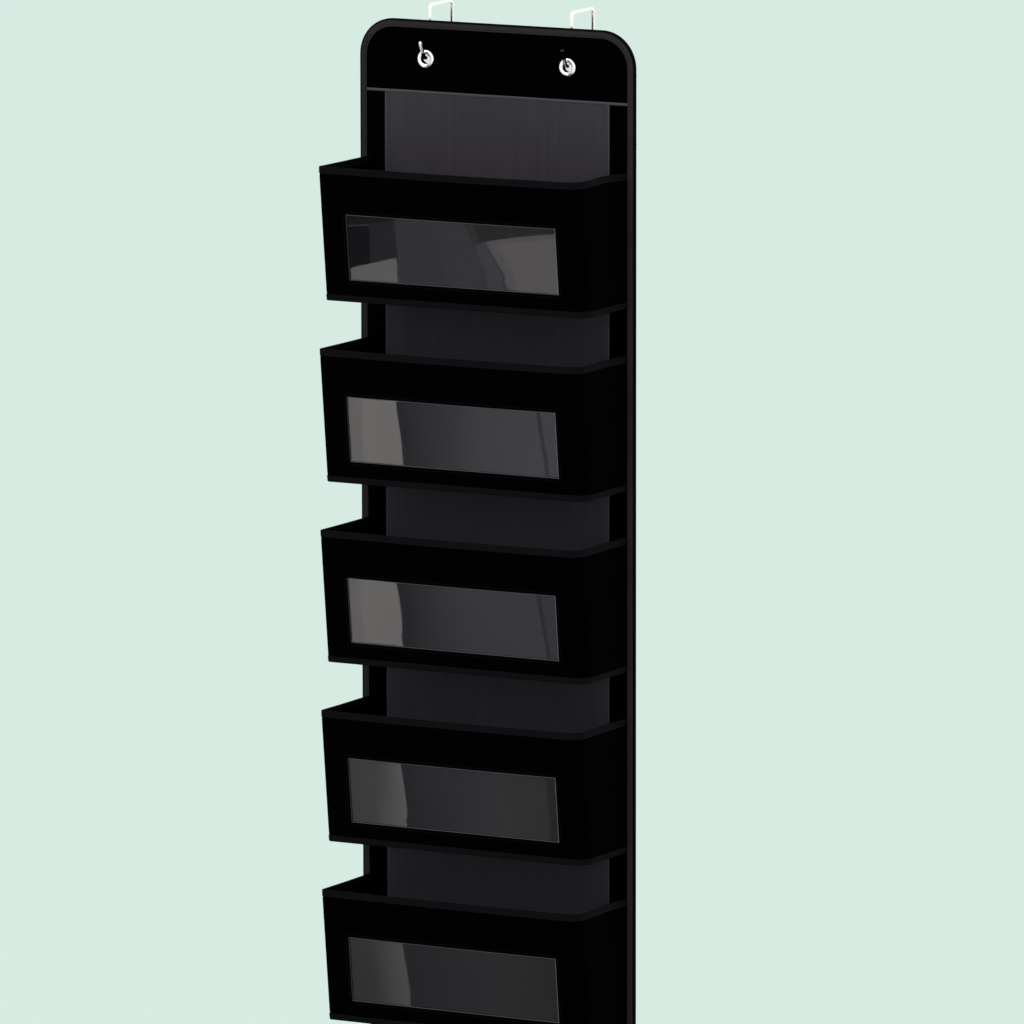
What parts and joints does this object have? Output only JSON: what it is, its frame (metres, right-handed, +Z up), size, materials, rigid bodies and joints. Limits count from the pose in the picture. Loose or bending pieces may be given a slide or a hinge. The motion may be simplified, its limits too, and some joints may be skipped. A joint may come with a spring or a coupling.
{
  "type": "over-the-door organizer",
  "caption": "Hanging cloth organizer with a column of open-topped box pockets with clear windows, hung by header eyelets on wire hooks over a door.",
  "frame": {"origin": "on the door's top edge, midway between the two hooks, in the plane of the door's front face", "axes": "+X to the right seen from the front, +Y from the organizer towards the door, +Z up"},
  "size_m": [0.331, 0.1681, 1.1364],
  "materials": {
    "black_cloth": "matt black woven cloth",
    "grey_cloth": "dark grey cloth with faint upright streaks",
    "binding_tape": "ribbed black binding tape",
    "seam_tape": "narrow grey tape",
    "header_board": "stiff sheet, hidden",
    "interlining": "felt, hidden",
    "eyelet_metal": "bright pressed metal",
    "hook_wire": "bright plated wire",
    "pocket_cloth": "matt black cloth",
    "pocket_tape": "ribbed black tape",
    "base_board": "stiff black board",
    "clear_vinyl": "clear vinyl sheet"
  },
  "bodies": {
    "door_hooks": {"left_door_hook": "hook_wire", "right_door_hook": "hook_wire"},
    "organizer": {"back_cloth": "black_cloth", "centre_cloth": "grey_cloth", "edge_binding": "binding_tape", "header_board": "header_board", "header_cloth": "black_cloth", "header_tape": "seam_tape", "left_eyelet": "eyelet_metal", "left_eyelet_washer": "eyelet_metal", "left_side_strip": "black_cloth", "panel_interlining": "interlining", "pocket_1_base_board": "base_board", "pocket_1_base_cloth": "pocket_cloth", "pocket_1_base_tape": "pocket_tape", "pocket_1_rim_tape": "pocket_tape", "pocket_1_wall": "pocket_cloth", "pocket_1_window": "clear_vinyl", "pocket_2_base_board": "base_board", "pocket_2_base_cloth": "pocket_cloth", "pocket_2_base_tape": "pocket_tape", "pocket_2_rim_tape": "pocket_tape", "pocket_2_wall": "pocket_cloth", "pocket_2_window": "clear_vinyl", "pocket_3_base_board": "base_board", "pocket_3_base_cloth": "pocket_cloth", "pocket_3_base_tape": "pocket_tape", "pocket_3_rim_tape": "pocket_tape", "pocket_3_wall": "pocket_cloth", "pocket_3_window": "clear_vinyl", "pocket_4_base_board": "base_board", "pocket_4_base_cloth": "pocket_cloth", "pocket_4_base_tape": "pocket_tape", "pocket_4_rim_tape": "pocket_tape", "pocket_4_wall": "pocket_cloth", "pocket_4_window": "clear_vinyl", "pocket_5_base_board": "base_board", "pocket_5_base_cloth": "pocket_cloth", "pocket_5_base_tape": "pocket_tape", "pocket_5_rim_tape": "pocket_tape", "pocket_5_wall": "pocket_cloth", "pocket_5_window": "clear_vinyl", "right_eyelet": "eyelet_metal", "right_eyelet_washer": "eyelet_metal", "right_side_strip": "black_cloth"}
  },
  "joints": [
    {"name": "organizer_swing", "type": "hinge", "parent": "door_hooks", "child": "organizer", "pos_m": [0, -0.00391, -0.05097], "axis": [1, 0, 0], "range_deg": [-4, 0]}
  ]
}
